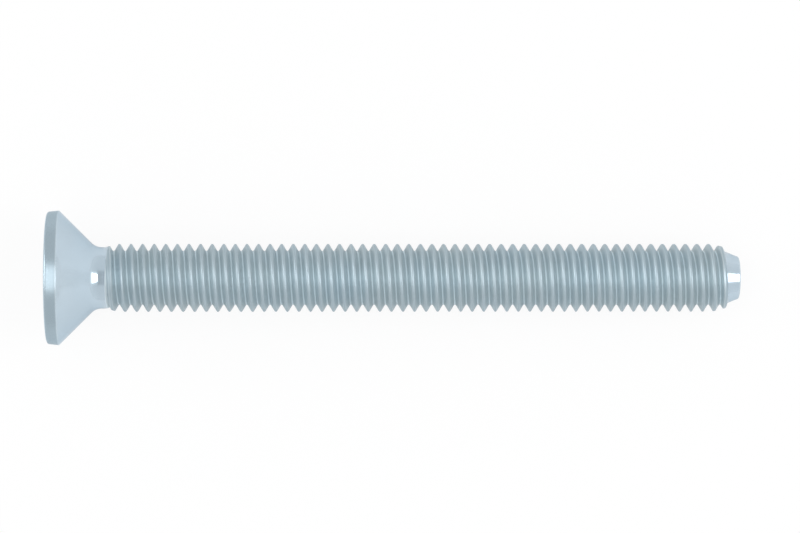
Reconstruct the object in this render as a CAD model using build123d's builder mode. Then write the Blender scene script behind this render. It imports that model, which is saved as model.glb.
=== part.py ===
from build123d import *
import math
import os

# A countersunk machine screw with a hexagon socket, threaded up to the head. It lies on a flat
# surface as it comes to rest, on the rim of its head and the end of its thread, head towards -X.
# Sizes are in millimetres and degrees.

screw_length = 59.6

# Head: a short rim, then the cone that sits in the countersunk hole.
head_diameter = 11.66
rim_height = 0.89
rim_draft = 0.1
face_corner_radius = 0.27
rim_edge_radius = 0.1
countersink_angle = 90.0

# Neck: the plain part between the cone and the thread.
neck_diameter = 5.3
neck_length = 0.88
neck_fillet_radius = 1.3

# Thread: drawn as the cylinder that its crests reach.
thread_diameter = 5.9
thread_pitch = 1.0

# Point: the plain cone past the last turn of the thread.
point_base_diameter = 4.53
point_length = 0.85
point_angle = 53.0
point_corner_radius = 0.18

# Socket for the hexagon key.
socket_across_flats = 4.0
socket_depth = 2.4
socket_floor_angle = 120.0
socket_mouth_chamfer = 0.11
socket_mouth_angle = 120.0


def cone_height(base_radius, top_radius, full_angle):
    """Height of a cone between two radii."""
    return (base_radius - top_radius) / math.tan(math.radians(full_angle / 2))


head_radius = head_diameter / 2
neck_radius = neck_diameter / 2
thread_radius = thread_diameter / 2
point_base_radius = point_base_diameter / 2
point_end_radius = point_base_radius - point_length * math.tan(math.radians(point_angle / 2))
socket_inner_radius = socket_across_flats / 2
socket_mouth_radius = socket_inner_radius / math.cos(math.radians(30)) + socket_mouth_chamfer

# Stations along the screw from the face of the head. The crests rise from the neck over the
# first turn and fall back over the last one.
neck_start = rim_height + cone_height(head_radius, neck_radius, countersink_angle)
thread_start = neck_start + neck_length
full_thread_start = thread_start + thread_pitch
point_start = screw_length - point_length
thread_end = point_start - thread_pitch / 8
full_thread_end = thread_end - thread_pitch

# The lean of the axis, and the ends of the lying screw in X, from the middle of its face.
lean = math.atan2(head_radius - thread_radius, full_thread_end - rim_height)
face_height = head_radius * math.cos(lean) + rim_height * math.sin(lean)
left_end = face_corner_radius * (math.cos(lean) - 1)
left_end -= (head_radius - rim_draft - face_corner_radius) * math.sin(lean)
right_end = (screw_length - point_corner_radius) * math.cos(lean) + point_corner_radius
right_end += (point_end_radius - point_corner_radius) * math.sin(lean)

face_centre = Vector(-(left_end + right_end) / 2, 0, face_height)
tip_direction = Vector(math.cos(lean), 0, -math.sin(lean))
screw_axis = Axis(face_centre, tip_direction)

# Half sections are drawn with X along the screw from its face and Y out from its axis.
section_plane = Plane(origin=face_centre, x_dir=tip_direction, z_dir=(0, -1, 0))
face_plane = Plane(origin=face_centre, x_dir=(0, 1, 0), z_dir=-tip_direction)


with BuildPart() as countersunk_screw:
    # Head, neck, thread and point, turned in one piece.
    with BuildSketch(section_plane):
        with BuildLine():
            outside = FilletPolyline(
                (0, 0),
                (0, head_radius - rim_draft),
                (rim_height, head_radius),
                (neck_start, neck_radius),
                (thread_start, neck_radius),
                (full_thread_start, thread_radius),
                (full_thread_end, thread_radius),
                (thread_end, neck_radius),
                (point_start, point_base_radius),
                (screw_length, point_end_radius),
                (screw_length, 0),
                radius=(
                    face_corner_radius,
                    rim_edge_radius,
                    neck_fillet_radius,
                    0,
                    0,
                    0,
                    0,
                    0,
                    point_corner_radius,
                ),
            )
            Line(outside @ 1, outside @ 0)
        make_face()
    revolve(axis=screw_axis)

    # Hexagon of the socket, with a corner towards the top.
    with BuildSketch(face_plane):
        RegularPolygon(socket_inner_radius, side_count=6, major_radius=False, rotation=30)
    extrude(amount=-socket_depth, mode=Mode.SUBTRACT)

    # Conical floor left by the punch.
    with BuildSketch(section_plane):
        with BuildLine():
            floor_end = socket_depth + cone_height(socket_inner_radius, 0, socket_floor_angle)
            Polyline(
                (0, 0),
                (0, socket_inner_radius),
                (socket_depth, socket_inner_radius),
                (floor_end, 0),
                close=True,
            )
        make_face()
    revolve(axis=screw_axis, mode=Mode.SUBTRACT)

    # Chamfer round the mouth.
    with BuildSketch(section_plane):
        with BuildLine():
            chamfer_end = cone_height(socket_mouth_radius, 0, socket_mouth_angle)
            Polyline((0, 0), (0, socket_mouth_radius), (chamfer_end, 0), close=True)
        make_face()
    revolve(axis=screw_axis, mode=Mode.SUBTRACT)

countersunk_screw.part.label = "countersunk_screw"

os.makedirs("parts", exist_ok=True)
export_step(countersunk_screw.part, "parts/countersunk_screw.step")
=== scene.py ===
import math

import bmesh
import bpy
from mathutils import Matrix, Vector


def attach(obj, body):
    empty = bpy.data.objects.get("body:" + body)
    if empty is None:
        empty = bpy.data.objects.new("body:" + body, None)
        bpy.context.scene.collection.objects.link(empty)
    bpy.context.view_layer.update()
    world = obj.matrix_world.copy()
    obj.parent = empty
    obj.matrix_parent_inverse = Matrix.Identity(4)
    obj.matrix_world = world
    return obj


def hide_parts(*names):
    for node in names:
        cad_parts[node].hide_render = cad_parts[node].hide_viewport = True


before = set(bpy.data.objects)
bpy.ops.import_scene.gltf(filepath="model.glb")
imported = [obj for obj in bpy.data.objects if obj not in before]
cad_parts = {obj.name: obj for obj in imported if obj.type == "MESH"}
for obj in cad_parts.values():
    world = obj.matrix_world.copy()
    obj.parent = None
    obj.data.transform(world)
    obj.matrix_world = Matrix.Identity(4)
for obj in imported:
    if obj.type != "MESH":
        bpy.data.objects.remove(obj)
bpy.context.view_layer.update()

# ---------------------------------------------------------------------------------------------
# Thread. The steel wire is rolled between dies, which press the roots in and raise the crests,
# and it is then zinc plated. So crests and roots are rounded, and the flanks are satin and keep
# fine streaks from the dies.

# Sizes are in millimetres. The screw lies on the rim of its head and the end of its thread, so
# its axis leans. A place on it is a distance along the axis from the head's face, and a radius.
MM = 0.001
face_centre = Vector((-29.66533, 0, 5.86762))
lying_rim = (0.89, 5.83)
lying_thread_end = (57.625, 2.95)
lean = math.atan2(lying_rim[1] - lying_thread_end[1], lying_thread_end[0] - lying_rim[0])

pitch = 1.0
first_crest = 6.178
thread_from = 4.84
thread_to = 58.87
neck_radius = 2.65
point_base_radius = 2.19
flank_slope = math.sqrt(3)

# Two edges run round the screw at a slant: where the dies first bite, and where the thread's
# last flank meets the point. Each is its middle, then how far on it lies at the side and on top.
rolled_start = (5.22, 0.05, -0.20)
thread_foot = (58.70, -0.15, -0.095)

thread_sizes = {
    "Pitch": pitch,
    "First Crest": first_crest,
    "Vee Crest Radius": 3.075,
    "Crest Rounding": 0.15,
    "Root Rounding": 0.13,
    "Start": thread_from,
    "End": thread_to,
    "Neck Radius": neck_radius,
    "Root Radius": 2.31,
    "Point Radius": point_base_radius,
    "Point Slope": 0.4025,
    "Rise Start": 4.97,
    "Rise End": 6.2,
    "Rise Start Radius": 2.655,
    "Rise End Radius": 2.97,
    "Sink Start": 4.96,
    "Sink End": 5.66,
    "Taper Start": 57.45,
    "Taper Radius": 2.95,
    "Taper Slope": 0.25,
    "Root Drop Start": 56.2,
    "Root Drop End": 57.6,
    "Root Drop": 0.08,
    "Last Flank Slope": 2.2,
    "Foot": thread_foot[0],
    "Foot Aside": thread_foot[1],
    "Foot On Top": thread_foot[2],
}

steps_around = 84
steps_across = 16
first_turn = -2
turns = 56


def feed(tree, slot, value):
    """Sets a socket to a number or a colour, or links another node's output to it."""
    if isinstance(value, (int, float, tuple)):
        slot.default_value = value
    else:
        tree.links.new(value, slot)


def calc(tree, operation, *values):
    """Adds a Math node."""
    node = tree.nodes.new("ShaderNodeMath")
    node.operation = operation
    for slot, value in zip(node.inputs, values):
        feed(tree, slot, value)
    return node.outputs[0]


def ramp(tree, value, low, high, at_low, at_high):
    """Adds a Map Range node that is level outside low and high."""
    node = tree.nodes.new("ShaderNodeMapRange")
    names = ("Value", "From Min", "From Max", "To Min", "To Max")
    for name, number in zip(names, (value, low, high, at_low, at_high)):
        feed(tree, node.inputs[name], number)
    return node.outputs[0]


def join(tree, *values):
    """Adds a Combine XYZ node."""
    node = tree.nodes.new("ShaderNodeCombineXYZ")
    for slot, value in zip(node.inputs, values):
        feed(tree, slot, value)
    return node.outputs[0]


def noise(tree, place, scale, detail=2.0):
    """Adds a Noise Texture and gives its value, from 0 to 1."""
    node = tree.nodes.new("ShaderNodeTexNoise")
    node.inputs["Scale"].default_value = scale
    node.inputs["Detail"].default_value = detail
    tree.links.new(place, node.inputs["Vector"])
    return node.outputs[0]


def swing(tree, value, centre, reach):
    """Turns a noise value into centre, give or take reach."""
    return calc(tree, "MULTIPLY_ADD", calc(tree, "SUBTRACT", value, 0.5), 2.0 * reach, centre)


def blend(tree, share, one, other):
    """Adds a Mix Color node."""
    node = tree.nodes.new("ShaderNodeMix")
    node.data_type = "RGBA"
    for slot, value in ((node.inputs[0], share), (node.inputs[6], one), (node.inputs[7], other)):
        feed(tree, slot, value)
    return node.outputs[2]


# Where a point of the surface lies on the screw: along it and out from its axis, which way round
# it from -1 to 1, how far it is from the nearest crest in pitches, and whether it was rolled.
place_group = bpy.data.node_groups.new("place_on_screw", "ShaderNodeTree")
for name in ("Along", "Radius", "Across", "Up", "From Crest", "Rolled"):
    place_group.interface.new_socket(name, in_out="OUTPUT", socket_type="NodeSocketFloat")
place_out = place_group.nodes.new("NodeGroupOutput").inputs
object_place = place_group.nodes.new("ShaderNodeTexCoord").outputs["Object"]
to_screw = place_group.nodes.new("ShaderNodeMapping")
to_screw.vector_type = "TEXTURE"
to_screw.inputs["Location"].default_value = [MM * c for c in face_centre]
to_screw.inputs["Rotation"].default_value = (0, lean, 0)
to_screw.inputs["Scale"].default_value = (MM, MM, MM)
place_group.links.new(object_place, to_screw.inputs["Vector"])
on_screw = place_group.nodes.new("ShaderNodeSeparateXYZ")
place_group.links.new(to_screw.outputs[0], on_screw.inputs[0])
along_screw, across_screw, up_screw = on_screw.outputs
radius_squared = calc(
    place_group,
    "MULTIPLY_ADD",
    across_screw,
    across_screw,
    calc(place_group, "MULTIPLY", up_screw, up_screw),
)
screw_radius = calc(place_group, "SQRT", radius_squared)
screw_angle = calc(place_group, "ARCTAN2", up_screw, across_screw)
screw_turn = calc(place_group, "DIVIDE", screw_angle, 2 * math.pi)
past_first_crest = calc(place_group, "SUBTRACT", along_screw, first_crest)
crest_phase = calc(
    place_group, "SUBTRACT", calc(place_group, "DIVIDE", past_first_crest, pitch), screw_turn
)
crest_gap = calc(
    place_group,
    "ABSOLUTE",
    calc(place_group, "SUBTRACT", crest_phase, calc(place_group, "ROUND", crest_phase)),
)
across_share = calc(place_group, "DIVIDE", across_screw, screw_radius)
up_share = calc(place_group, "DIVIDE", up_screw, screw_radius)


def past_edge(middle, at_side, on_top):
    """How far a point lies past an edge that runs round the screw at a slant."""
    return calc(
        place_group,
        "SUBTRACT",
        calc(place_group, "MULTIPLY_ADD", across_share, -at_side, along_screw),
        calc(place_group, "MULTIPLY_ADD", up_share, on_top, middle),
    )


edge_blend = 0.05
rolled_here = calc(
    place_group,
    "MULTIPLY",
    ramp(place_group, past_edge(*rolled_start), -edge_blend, edge_blend, 0.0, 1.0),
    ramp(place_group, past_edge(*thread_foot), -edge_blend, 0.0, 1.0, 0.0),
)
for slot, value in zip(
    place_out, (along_screw, screw_radius, across_share, up_share, crest_gap, rolled_here)
):
    place_group.links.new(value, slot)

# Zinc plate with a clear blue passivation. Its tone and hue drift a little, and its grain is
# very fine.
warm_drift = (1.012, 1.0, 0.992, 1)
cool_drift = (0.988, 1.0, 1.01, 1)

plate_group = bpy.data.node_groups.new("zinc_plate", "ShaderNodeTree")
plate_group.interface.new_socket("Tint", in_out="INPUT", socket_type="NodeSocketColor")
for name in ("Roughness", "Mottling"):
    plate_group.interface.new_socket(name, in_out="INPUT", socket_type="NodeSocketFloat")
plate_group.interface.new_socket("Color", in_out="OUTPUT", socket_type="NodeSocketColor")
for name in ("Roughness", "Height"):
    plate_group.interface.new_socket(name, in_out="OUTPUT", socket_type="NodeSocketFloat")
plate_in = plate_group.nodes.new("NodeGroupInput").outputs
plate_out = plate_group.nodes.new("NodeGroupOutput").inputs
plate_place = plate_group.nodes.new("ShaderNodeTexCoord").outputs["Object"]
clouds = noise(plate_group, plate_place, scale=620.0, detail=3.0)
drift = noise(plate_group, plate_place, scale=210.0, detail=1.0)
speckle = noise(plate_group, plate_place, scale=7500.0, detail=2.0)
grain = noise(plate_group, plate_place, scale=26000.0, detail=1.0)
tone = calc(
    plate_group,
    "MULTIPLY_ADD",
    calc(plate_group, "MULTIPLY", calc(plate_group, "SUBTRACT", clouds, 0.5), 2.0),
    plate_in["Mottling"],
    1.0,
)
toned = plate_group.nodes.new("ShaderNodeVectorMath")
toned.operation = "SCALE"
plate_group.links.new(plate_in["Tint"], toned.inputs[0])
plate_group.links.new(tone, toned.inputs["Scale"])
warmth = ramp(plate_group, drift, 0.3, 0.7, 0.0, 1.0)
hue = plate_group.nodes.new("ShaderNodeVectorMath")
hue.operation = "MULTIPLY"
plate_group.links.new(toned.outputs[0], hue.inputs[0])
plate_group.links.new(blend(plate_group, warmth, warm_drift, cool_drift), hue.inputs[1])
plate_group.links.new(hue.outputs[0], plate_out["Color"])
speckled = swing(plate_group, speckle, 0.0, 0.05)
plate_group.links.new(
    calc(plate_group, "ADD", plate_in["Roughness"], speckled), plate_out["Roughness"]
)
grain_share, speckle_share = 0.35, 0.65
plate_group.links.new(
    calc(
        plate_group,
        "MULTIPLY_ADD",
        grain,
        grain_share,
        calc(plate_group, "MULTIPLY", speckle, speckle_share),
    ),
    plate_out["Height"],
)


def finish(name, colour, roughness, mottling, height, bump, grazing_tint):
    """A zinc-plated finish. Colour, roughness and height are functions of (tree, place)."""
    material = bpy.data.materials.new(name)
    material.use_nodes = True
    tree = material.node_tree
    shader = tree.nodes["Principled BSDF"]
    shader.inputs["Metallic"].default_value = 1.0
    shader.inputs["Specular Tint"].default_value = grazing_tint
    place = tree.nodes.new("ShaderNodeGroup")
    place.node_tree = place_group
    plate = tree.nodes.new("ShaderNodeGroup")
    plate.node_tree = plate_group
    tree.links.new(colour(tree, place.outputs), plate.inputs["Tint"])
    tree.links.new(roughness(tree, place.outputs), plate.inputs["Roughness"])
    plate.inputs["Mottling"].default_value = mottling
    tree.links.new(plate.outputs["Color"], shader.inputs["Base Color"])
    tree.links.new(plate.outputs["Roughness"], shader.inputs["Roughness"])
    relief = tree.nodes.new("ShaderNodeBump")
    relief.inputs["Strength"].default_value = 1.0
    relief.inputs["Distance"].default_value = bump * MM
    raised = calc(tree, "ADD", plate.outputs["Height"], height(tree, place.outputs))
    tree.links.new(raised, relief.inputs["Height"])
    tree.links.new(relief.outputs[0], shader.inputs["Normal"])
    return material


# The rolled finish. Its bands round crest and root are in pitches from the crest.
# The crest band is painted shade: a darker tint that tones down the crests' highlight.
plain_tint = (0.52, 0.62, 0.695, 1)
rolled_tint = (0.522, 0.602, 0.637, 1)
# Painted shade: the crests are tinted darker to tone down their highlight.
crest_shade_tint = (0.393, 0.482, 0.529, 1)
# Painted highlight: a lighter tint along the roots stands in for the bright line reflected there.
root_highlight_tint = (0.67, 0.775, 0.823, 1)
plain_grazing_tint = (0.8, 0.86, 0.9, 1)
rolled_grazing_tint = (1.0, 1.0, 1.0, 1)
plain_roughness = 0.14
rolled_roughness = 0.54
crest_roughness = 0.50
crest_shade_band = (0.03, 0.18)
root_highlight_band = (0.43, 0.47)
crest_gloss_band = (0.10, 0.30)
streaks_per_pitch = 16.0
streak_drift = (0.21, -0.17)
streak_tone = 0.12
streak_gloss = 0.08


def rolling_streaks(tree, place):
    """Fine lines that the rolling dies leave along the flanks."""
    around = join(
        tree,
        calc(tree, "MULTIPLY", place["From Crest"], streaks_per_pitch),
        calc(tree, "MULTIPLY_ADD", place["Along"], streak_drift[0], place["Across"]),
        calc(tree, "MULTIPLY_ADD", place["Along"], streak_drift[1], place["Up"]),
    )
    return noise(tree, around, scale=1.0, detail=3.0)


def rolled_colour(tree, place):
    # Painted shade: darker towards the crest, to tone down the highlight there.
    crest = ramp(tree, place["From Crest"], *crest_shade_band, 1.0, 0.0)
    # Painted highlight: lighter at the root, for the bright reflected line along it.
    root = ramp(tree, place["From Crest"], *root_highlight_band, 0.0, 1.0)
    streaked = swing(tree, rolling_streaks(tree, place), 0.0, streak_tone)
    rolled = blend(tree, calc(tree, "ADD", crest, streaked), rolled_tint, crest_shade_tint)
    rolled = blend(tree, root, rolled, root_highlight_tint)
    return blend(tree, place["Rolled"], plain_tint, rolled)


def rolled_gloss(tree, place):
    streaks = swing(tree, rolling_streaks(tree, place), -plain_roughness, streak_gloss)
    level = ramp(
        tree, place["From Crest"], *crest_gloss_band, crest_roughness, rolled_roughness
    )
    return calc(
        tree, "MULTIPLY_ADD", calc(tree, "ADD", level, streaks), place["Rolled"], plain_roughness
    )


def rolled_relief(tree, place):
    return calc(tree, "MULTIPLY", rolling_streaks(tree, place), place["Rolled"])


rolled_zinc = finish(
    "rolled_zinc_plate",
    rolled_colour,
    rolled_gloss,
    mottling=0.05,
    height=rolled_relief,
    bump=0.0012,
    grazing_tint=rolled_grazing_tint,
)

# A strip one pitch wide follows the helix, and each of its points takes its radius from how far
# it lies from the nearest crest.
thread_tree = bpy.data.node_groups.new("rolled_thread", "GeometryNodeTree")
thread_tree.interface.new_socket("Geometry", in_out="OUTPUT", socket_type="NodeSocketGeometry")
size_sockets = {
    name: thread_tree.interface.new_socket(
        name, in_out="INPUT", socket_type="NodeSocketFloat"
    ).identifier
    for name in thread_sizes
}
finish_socket = thread_tree.interface.new_socket(
    "Finish", in_out="INPUT", socket_type="NodeSocketMaterial"
).identifier
given = thread_tree.nodes.new("NodeGroupInput").outputs
result = thread_tree.nodes.new("NodeGroupOutput")

strip = thread_tree.nodes.new("GeometryNodeMeshGrid")
strip.inputs["Size X"].default_value = turns
strip.inputs["Size Y"].default_value = 1.0
strip.inputs["Vertices X"].default_value = turns * steps_around + 1
strip.inputs["Vertices Y"].default_value = steps_across + 1

place = thread_tree.nodes.new("ShaderNodeSeparateXYZ")
here = thread_tree.nodes.new("GeometryNodeInputPosition")
thread_tree.links.new(here.outputs[0], place.inputs[0])
turn = calc(thread_tree, "ADD", place.outputs["X"], first_turn + turns / 2)
across = place.outputs["Y"]

# Along the screw, the strip is trimmed square at both ends of the thread.
raw_along = calc(
    thread_tree,
    "MULTIPLY_ADD",
    calc(thread_tree, "ADD", turn, across),
    given["Pitch"],
    given["First Crest"],
)
along = calc(thread_tree, "MAXIMUM", raw_along, given["Start"])
along = calc(thread_tree, "MINIMUM", along, given["End"])

# Distance from the nearest crest and from the nearest root, in pitches.
along_from_crest = calc(thread_tree, "SUBTRACT", along, given["First Crest"])
crest_turns = calc(
    thread_tree,
    "SUBTRACT",
    calc(thread_tree, "DIVIDE", along_from_crest, given["Pitch"]),
    turn,
)
from_crest = calc(
    thread_tree,
    "ABSOLUTE",
    calc(thread_tree, "SUBTRACT", crest_turns, calc(thread_tree, "ROUND", crest_turns)),
)
from_root = calc(thread_tree, "SUBTRACT", 0.5, from_crest)


def rounding(distance, width):
    """How much a vee is cut back or filled at its corner, in pitches."""
    inside = calc(thread_tree, "SUBTRACT", width, calc(thread_tree, "MINIMUM", distance, width))
    squared = calc(thread_tree, "MULTIPLY", inside, inside)
    return calc(thread_tree, "DIVIDE", squared, calc(thread_tree, "MULTIPLY", width, 2.0))


down = calc(
    thread_tree,
    "SUBTRACT",
    calc(thread_tree, "ADD", from_crest, rounding(from_crest, given["Crest Rounding"])),
    rounding(from_root, given["Root Rounding"]),
)
down = calc(thread_tree, "MULTIPLY", down, given["Pitch"])
radius = calc(
    thread_tree,
    "SUBTRACT",
    given["Vee Crest Radius"],
    calc(thread_tree, "MULTIPLY", down, flank_slope),
)

# The crests rise out of the neck over the first turn. Over the last turn they taper, and the
# last flank drops to the point's cone along the slanted foot.
rise = ramp(
    thread_tree,
    along,
    given["Rise Start"],
    given["Rise End"],
    given["Rise Start Radius"],
    given["Rise End Radius"],
)
past_taper_start = calc(thread_tree, "SUBTRACT", along, given["Taper Start"])
taper = calc(
    thread_tree,
    "SUBTRACT",
    given["Taper Radius"],
    calc(thread_tree, "MULTIPLY", past_taper_start, given["Taper Slope"]),
)
angle = calc(thread_tree, "MULTIPLY", turn, 2 * math.pi)
sine, cosine = calc(thread_tree, "SINE", angle), calc(thread_tree, "COSINE", angle)
foot = calc(
    thread_tree,
    "MULTIPLY_ADD",
    cosine,
    given["Foot Aside"],
    calc(thread_tree, "MULTIPLY_ADD", sine, given["Foot On Top"], given["Foot"]),
)
before_foot = calc(thread_tree, "SUBTRACT", foot, along)
point_cone = calc(
    thread_tree,
    "MULTIPLY_ADD",
    calc(thread_tree, "SUBTRACT", given["End"], along),
    given["Point Slope"],
    given["Point Radius"],
)
stop = calc(
    thread_tree,
    "MULTIPLY_ADD",
    calc(thread_tree, "MAXIMUM", before_foot, 0.0),
    given["Last Flank Slope"],
    point_cone,
)
end_softness, start_softness, crest_softness, foot_width = 0.25, 0.02, 0.03, 0.03
limit = calc(thread_tree, "SMOOTH_MIN", taper, stop, end_softness)
limit = calc(thread_tree, "SMOOTH_MIN", limit, rise, start_softness)
radius = calc(thread_tree, "SMOOTH_MIN", radius, limit, crest_softness)

# The root sinks in from nothing over three quarters of a turn, and drops a little near the end.
sunk = ramp(thread_tree, along, given["Sink Start"], given["Sink End"], 0.0, 1.0)
sunk = calc(thread_tree, "MULTIPLY", sunk, sunk)
root_drop = ramp(
    thread_tree,
    along,
    given["Root Drop Start"],
    given["Root Drop End"],
    0.0,
    given["Root Drop"],
)
dropped_root = calc(thread_tree, "SUBTRACT", given["Root Radius"], root_drop)
depth = calc(thread_tree, "SUBTRACT", given["Neck Radius"], dropped_root)
floor_radius = calc(
    thread_tree, "SUBTRACT", given["Neck Radius"], calc(thread_tree, "MULTIPLY", sunk, depth)
)
radius = calc(thread_tree, "SMOOTH_MAX", radius, floor_radius, crest_softness)
past_end = ramp(thread_tree, before_foot, 0.0, foot_width, 1.0, 0.0)
radius = calc(
    thread_tree,
    "MULTIPLY_ADD",
    calc(thread_tree, "SUBTRACT", point_cone, radius),
    past_end,
    radius,
)

wrapped = join(
    thread_tree,
    along,
    calc(thread_tree, "MULTIPLY", radius, cosine),
    calc(thread_tree, "MULTIPLY", radius, sine),
)
wrap = thread_tree.nodes.new("GeometryNodeSetPosition")
thread_tree.links.new(strip.outputs["Mesh"], wrap.inputs["Geometry"])
thread_tree.links.new(wrapped, wrap.inputs["Position"])
weld = thread_tree.nodes.new("GeometryNodeMergeByDistance")
weld.inputs["Distance"].default_value = 0.002
thread_tree.links.new(wrap.outputs[0], weld.inputs["Geometry"])
realize = thread_tree.nodes.new("GeometryNodeRealizeInstances")
thread_tree.links.new(weld.outputs[0], realize.inputs[0])
coat = thread_tree.nodes.new("GeometryNodeSetMaterial")
thread_tree.links.new(realize.outputs[0], coat.inputs["Geometry"])
thread_tree.links.new(given["Finish"], coat.inputs["Material"])
thread_tree.links.new(coat.outputs[0], result.inputs[0])

thread_host = bpy.data.objects.new("thread_host", bpy.data.meshes.new("thread_host"))
bpy.context.scene.collection.objects.link(thread_host)
rolling = thread_host.modifiers.new("rolled_thread", "NODES")
rolling.node_group = thread_tree
for name, number in thread_sizes.items():
    rolling[size_sockets[name]] = number
rolling[finish_socket] = rolled_zinc
bpy.context.view_layer.update()
depsgraph = bpy.context.evaluated_depsgraph_get()
screw_mesh = bpy.data.meshes.new_from_object(thread_host.evaluated_get(depsgraph))
bpy.data.objects.remove(thread_host)

# ---------------------------------------------------------------------------------------------
# Neck, head, socket and point. They are cold headed from the same steel wire and plated with
# it: a forged cone and rim, a socket driven in by a hexagon punch, and a plain cone at the
# point. Each is grown ring by ring from an open end of the thread.

head_radius = 5.81
face_start = -0.06
rim_height = 0.985
rim_draft = 0.1
face_corner_radius = 0.27
rim_edge_radius = 0.05
neck_fillet_radius = 1.3
neck_start = rim_height + head_radius - neck_radius
face_rings = (5.2, 4.6, 3.9, 3.2, 2.7)

socket_half_width = 2.0
socket_depth = 2.4
socket_mouth_radius = 2.42
socket_edge_radius = 0.04
socket_foot = 0.05
socket_floor_slope = math.tan(math.radians(30))
socket_wall_rings = (0.6, 1.2, 1.8, socket_depth - socket_foot)
socket_floor_rings = (1.9, 1.4, 0.9, 0.4)
socket_floor_blunt_radius = 0.25

screw_length = 59.80
point_end_radius = 1.815
point_corner_radius = 0.18
point_hollow = 0.012
point_rings = 7
end_dome_radius = 1.5
end_dome_inner_radius = 0.1
end_dome_height = 0.03
end_dome_rings = 6

headed_tint = plain_tint
edge_tint = (0.58, 0.68, 0.74, 1)
land_tint = (0.375, 0.463, 0.518, 1)
edge_share = 0.6
land_radius = (5.58, 5.68)
land_end = (0.96, 1.01)
land_marks = (8.0, 30.0)
land_extra_roughness = 0.16
land_roughness_swing = 0.06
land_relief = 2.5

# Edges where the plate is brighter, as distance along, radius and how far it spreads.
bright_edges = (
    (rim_height, head_radius, 0.10),
    (face_start, socket_mouth_radius, 0.12),
    (screw_length, point_end_radius, 0.22),
)


def near(tree, place, along, radius, reach):
    """A mask round the edge at a distance along the screw and a radius."""
    x = calc(tree, "SUBTRACT", place["Along"], along)
    y = calc(tree, "SUBTRACT", place["Radius"], radius)
    gap = calc(tree, "SQRT", calc(tree, "MULTIPLY_ADD", x, x, calc(tree, "MULTIPLY", y, y)))
    return ramp(tree, gap, 0.3 * reach, reach, 1.0, 0.0)


def land(tree, place):
    """A mask of the rim's outside, which is trimmed after heading."""
    outside = ramp(tree, place["Radius"], *land_radius, 0.0, 1.0)
    return calc(tree, "MULTIPLY", outside, ramp(tree, place["Along"], *land_end, 1.0, 0.0))


def marks(tree, place, along, around):
    """Noise that is drawn out along the screw or round it."""
    drawn = join(
        tree,
        calc(tree, "MULTIPLY", place["Along"], along),
        calc(tree, "MULTIPLY", place["Across"], around),
        calc(tree, "MULTIPLY", place["Up"], around),
    )
    return noise(tree, drawn, scale=1.0, detail=3.0)


def headed_colour(tree, place):
    trimmed = blend(tree, land(tree, place), headed_tint, land_tint)
    edges = near(tree, place, *bright_edges[0])
    for edge in bright_edges[1:]:
        edges = calc(tree, "MAXIMUM", edges, near(tree, place, *edge))
    return blend(tree, calc(tree, "MULTIPLY", edges, edge_share), trimmed, edge_tint)


def headed_gloss(tree, place):
    torn = marks(tree, place, *land_marks)
    extra = swing(tree, torn, land_extra_roughness, land_roughness_swing)
    return calc(tree, "MULTIPLY_ADD", extra, land(tree, place), plain_roughness)


def headed_relief(tree, place):
    torn = marks(tree, place, *land_marks)
    return calc(tree, "MULTIPLY", torn, calc(tree, "MULTIPLY", land(tree, place), land_relief))


headed_zinc = finish(
    "headed_zinc_plate",
    headed_colour,
    headed_gloss,
    mottling=0.035,
    height=headed_relief,
    bump=0.0006,
    grazing_tint=plain_grazing_tint,
)

socket_tint = (0.45, 0.54, 0.61, 1)
socket_marks = (0.7, 26.0)
socket_mark_limits = (0.35, 0.65)
socket_roughness = 0.30
socket_roughness_swing = 0.10


def punch_marks(tree, place):
    """Lines down the walls, drawn by the corners of the punch."""
    return marks(tree, place, *socket_marks)


def socket_colour(tree, place):
    marked = ramp(tree, punch_marks(tree, place), *socket_mark_limits, 0.0, 1.0)
    return blend(tree, marked, socket_tint, headed_tint)


def socket_gloss(tree, place):
    return swing(tree, punch_marks(tree, place), socket_roughness, socket_roughness_swing)


socket_zinc = finish(
    "socket_zinc_plate",
    socket_colour,
    socket_gloss,
    mottling=0.05,
    height=punch_marks,
    bump=0.002,
    grazing_tint=plain_grazing_tint,
)


def rounded(before, corner, after, size, steps):
    """Points on the arc that rounds a corner of a half section."""
    before, corner, after = Vector(before), Vector(corner), Vector(after)
    one, two = (before - corner).normalized(), (after - corner).normalized()
    half = one.angle(two) / 2
    centre = corner + (one + two).normalized() * size / math.sin(half)
    start = corner + one * size / math.tan(half) - centre
    end = corner + two * size / math.tan(half) - centre
    sweep = start.angle(end)
    points = []
    for i in range(steps + 1):
        from_start, from_end = math.sin(sweep * (1 - i / steps)), math.sin(sweep * i / steps)
        points.append(centre + (start * from_start + end * from_end) / math.sin(sweep))
    return points


def hexagon(angle):
    """Distance from the axis to the wall of the socket, with a corner at the top."""
    wedge = math.radians(60)
    return socket_half_width / math.cos((angle - wedge / 2) % wedge - wedge / 2)


def grow(edges, along, radius):
    """Extends an open end to a new ring and returns the ring's edges."""
    grown = bmesh.ops.extrude_edge_only(bm, edges=edges)["geom"]
    for v in (g for g in grown if isinstance(g, bmesh.types.BMVert)):
        angle = math.atan2(v.co.z, v.co.y)
        r = radius(angle) if callable(radius) else radius
        x = along(angle) if callable(along) else along
        v.co = (x, r * math.cos(angle), r * math.sin(angle))
    return [g for g in grown if isinstance(g, bmesh.types.BMEdge)]


def close(edges, along):
    """Closes an open end at a point on the axis."""
    tip = bm.verts.new((along, 0, 0))
    for e in edges:
        bm.faces.new((e.verts[0], e.verts[1], tip))


bm = bmesh.new()
bm.from_mesh(screw_mesh)
rolled_faces = set(bm.faces)
open_edges = [e for e in bm.edges if e.is_boundary]
head_end = [e for e in open_edges if e.verts[0].co.x < screw_length / 2]
point_end = [e for e in open_edges if e.verts[0].co.x > screw_length / 2]

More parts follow.
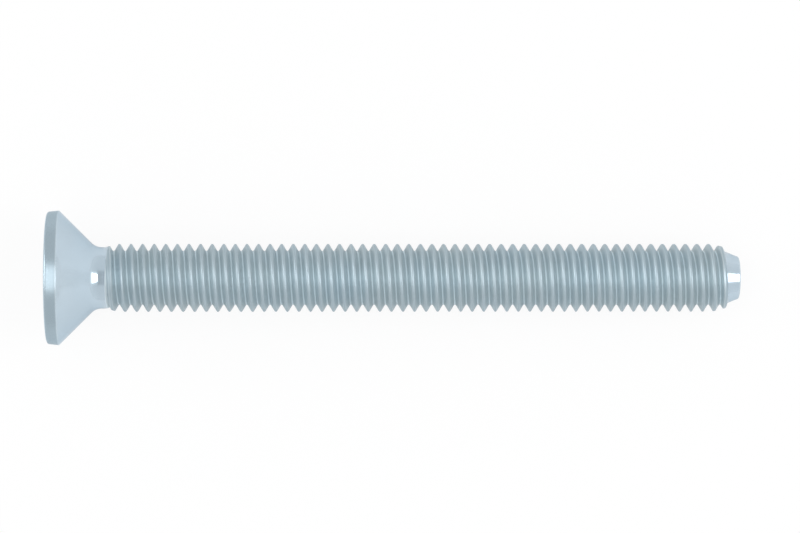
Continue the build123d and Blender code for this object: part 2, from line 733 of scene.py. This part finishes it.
# Neck, cone, rim and face, from the thread outwards.
neck = (neck_start, neck_radius)
rim = (rim_height, head_radius)
face_corner = (face_start, head_radius - rim_draft)
mouth = (face_start, socket_mouth_radius)
mouth_apex = (face_start + socket_mouth_radius * socket_floor_slope, 0)
head_section = rounded((thread_from, neck_radius), neck, rim, neck_fillet_radius, 12)
head_section += [Vector(neck).lerp(Vector(rim), s) for s in (0.3, 0.5, 0.7, 0.85)]
head_section += rounded(neck, rim, face_corner, rim_edge_radius, 4)
head_section += [Vector(rim).lerp(Vector(face_corner), s) for s in (0.25, 0.5)]
head_section += rounded(rim, face_corner, (face_start, 0), face_corner_radius, 7)
head_section += [Vector((face_start, r)) for r in face_rings]
head_section += rounded((face_start, head_radius), mouth, mouth_apex, socket_edge_radius, 4)
for x, r in head_section:
    head_end = grow(head_end, x, r)

# Socket: the mouth's cone meets the hexagon, whose walls go down to the floor's cone.
outside_faces = set(bm.faces)
head_end = grow(
    head_end,
    lambda a: face_start + (socket_mouth_radius - hexagon(a)) * socket_floor_slope,
    hexagon,
)
for x in socket_wall_rings:
    head_end = grow(head_end, x, hexagon)
head_end = grow(head_end, socket_depth, lambda a: hexagon(a) - socket_foot)
for r in socket_floor_rings:
    floor_depth = socket_depth + (socket_half_width - r) * socket_floor_slope
    head_end = grow(head_end, floor_depth, r)
floor_drop = (socket_half_width - socket_floor_blunt_radius) * socket_floor_slope
close(head_end, socket_depth + floor_drop)
socket_faces = set(bm.faces) - outside_faces

# Point: a slightly hollow cone, a rounded corner and a domed end.
point_base = Vector((thread_to, point_base_radius))
point_tip = Vector((screw_length, point_end_radius))
for i in range(1, point_rings - 1):
    s = i / point_rings
    x, r = point_base.lerp(point_tip, s)
    point_end = grow(point_end, x, r - 4 * point_hollow * s * (1 - s))
for x, r in rounded(point_base, point_tip, (screw_length, 0), point_corner_radius, 6):
    point_end = grow(point_end, x, r)
for i in range(end_dome_rings):
    s = i / end_dome_rings
    dome = end_dome_height * math.sin(math.pi / 2 * s)
    r = end_dome_radius * (1 - s) + end_dome_inner_radius * s
    point_end = grow(point_end, screw_length + dome, r)
close(point_end, screw_length + end_dome_height)

bmesh.ops.recalc_face_normals(bm, faces=bm.faces)
for f in bm.faces:
    f.smooth = True
    f.material_index = 0 if f in rolled_faces else 2 if f in socket_faces else 1

lying = Matrix.Scale(MM, 4) @ Matrix.Translation(face_centre) @ Matrix.Rotation(lean, 4, "Y")
bm.transform(lying)
screw_mesh.materials.clear()
for material in (rolled_zinc, headed_zinc, socket_zinc):
    screw_mesh.materials.append(material)
bm.to_mesh(screw_mesh)
bm.free()
screw_mesh.set_sharp_from_angle(angle=math.radians(40))
screw = bpy.data.objects.new("socket_screw", screw_mesh)
bpy.context.scene.collection.objects.link(screw)

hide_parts("countersunk_screw")
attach(screw, "root")

# ---------------------------------------------------------------------------------------------
# Floor. A pale table top that looks white to the camera. The metal sees it mostly as it is lit,
# and a little as plain white. Sizes from here on are in metres.

floor_reach = 3.0
floor_tint = (0.79, 0.79, 0.79, 1)
floor_roughness = 0.9
white_to_camera = 0.9
white_to_metal = 0.12

floor_mesh = bpy.data.meshes.new("floor")
floor_corners = [
    (x * floor_reach, y * floor_reach, 0) for x, y in ((-1, -1), (1, -1), (1, 1), (-1, 1))
]
floor_mesh.from_pydata(floor_corners, [], [(0, 1, 2, 3)])
floor = bpy.data.objects.new("floor", floor_mesh)
bpy.context.scene.collection.objects.link(floor)
pale = bpy.data.materials.new("pale_floor")
pale.use_nodes = True
floor_nodes = pale.node_tree
floor_paint = floor_nodes.nodes["Principled BSDF"]
floor_paint.inputs["Base Color"].default_value = floor_tint
floor_paint.inputs["Roughness"].default_value = floor_roughness
floor_white = floor_nodes.nodes.new("ShaderNodeEmission")
floor_rays = floor_nodes.nodes.new("ShaderNodeLightPath").outputs
mirrored = calc(
    floor_nodes, "MAXIMUM", floor_rays["Is Glossy Ray"], floor_rays["Is Transmission Ray"]
)
white_share = calc(
    floor_nodes,
    "MULTIPLY_ADD",
    floor_rays["Is Camera Ray"],
    white_to_camera,
    calc(floor_nodes, "MULTIPLY", mirrored, white_to_metal),
)
floor_mix = floor_nodes.nodes.new("ShaderNodeMixShader")
floor_nodes.links.new(white_share, floor_mix.inputs[0])
floor_nodes.links.new(floor_paint.outputs[0], floor_mix.inputs[1])
floor_nodes.links.new(floor_white.outputs[0], floor_mix.inputs[2])
floor_out = floor_nodes.nodes["Material Output"].inputs["Surface"]
floor_nodes.links.new(floor_mix.outputs[0], floor_out)
floor_mesh.materials.append(pale)

# ---------------------------------------------------------------------------------------------
# Studio sky. An even pale tent, brighter low down and towards the point, with a darker gap
# overhead where the camera looks in. Directions are parts of a unit vector.

sky_light = (0.86, 0.865, 0.87, 1)
camera_gap = (0.61, 0.62, 0.63, 1)
low_head_side = (0.90, 0.90, 0.90, 1)
low_point_side = (0.97, 0.97, 0.97, 1)
gap_middle = 0.12
gap_half_length = (0.22, 0.36)
gap_half_width = (0.35, 0.52)
gap_lowest = (0.0, 0.2)
low_sky_heights = (0.03, 0.75)
point_side_from = (0.1, 0.5)

world = bpy.data.worlds.new("studio")
bpy.context.scene.world = world
world.use_nodes = True
sky = world.node_tree
sky_from = sky.nodes.new("ShaderNodeTexCoord")
sky_split = sky.nodes.new("ShaderNodeSeparateXYZ")
sky.links.new(sky_from.outputs["Generated"], sky_split.inputs[0])
sky_x, sky_y, sky_z = sky_split.outputs
from_gap = calc(sky, "ABSOLUTE", calc(sky, "SUBTRACT", sky_x, gap_middle))
gap_along = ramp(sky, from_gap, *gap_half_length, 1.0, 0.0)
gap_across = ramp(sky, calc(sky, "ABSOLUTE", sky_y), *gap_half_width, 1.0, 0.0)
overhead = ramp(sky, sky_z, *gap_lowest, 0.0, 1.0)
gap = calc(sky, "MULTIPLY", calc(sky, "MULTIPLY", gap_along, gap_across), overhead)
high_colour = blend(sky, gap, sky_light, camera_gap)
point_side = ramp(sky, sky_x, *point_side_from, 0.0, 1.0)
low_colour = blend(sky, point_side, low_head_side, low_point_side)
low_sky = ramp(sky, sky_z, *low_sky_heights, 1.0, 0.0)
background = sky.nodes["Background"].inputs
sky.links.new(blend(sky, low_sky, high_colour, low_colour), background["Color"])
background["Strength"].default_value = 1.0

# ---------------------------------------------------------------------------------------------
# Lamps and camera. Softboxes hang in a half circle over the screw, three side by side towards
# the point so that their lower edge is soft, and two towards the head.

lamp_distance = 0.6


def softbox(name, tilt, size, radiance, aside=0.0):
    """A rectangular lamp, tilt degrees from overhead towards the point and aside from the axis."""
    data = bpy.data.lights.new(name, "AREA")
    data.shape = "RECTANGLE"
    data.size, data.size_y = size
    data.energy = radiance * math.pi * size[0] * size[1]
    lamp = bpy.data.objects.new(name, data)
    across = math.radians(tilt)
    lamp.location = (lamp_distance * math.sin(across), aside, lamp_distance * math.cos(across))
    lamp.rotation_euler = (0, across, 0)
    bpy.context.scene.collection.objects.link(lamp)


softbox("point_side_softbox", 43.0, (0.485, 0.31), 2.7)
softbox("soft_edge_of_point_side_softbox", 68.5, (0.074, 0.30), 1.2)
softbox("outer_edge_of_point_side_softbox", 76.5, (0.095, 0.28), 0.35)
softbox("head_side_softbox", -17, (0.22, 0.45), 1.5)
softbox("low_head_side_softbox", -70, (0.25, 0.34), 3.3, aside=0.08)

camera_data = bpy.data.cameras.new("camera")
camera_data.sensor_width = 36.0
camera_data.lens = 164.13
camera_data.clip_start = 0.01
camera = bpy.data.objects.new("camera", camera_data)
camera.location = (0.00633, 0.00098, 0.3200)
camera.rotation_euler = (0, math.radians(1.0201), 0)
bpy.context.scene.collection.objects.link(camera)
bpy.context.scene.camera = camera
bpy.context.scene.view_settings.view_transform = "Standard"
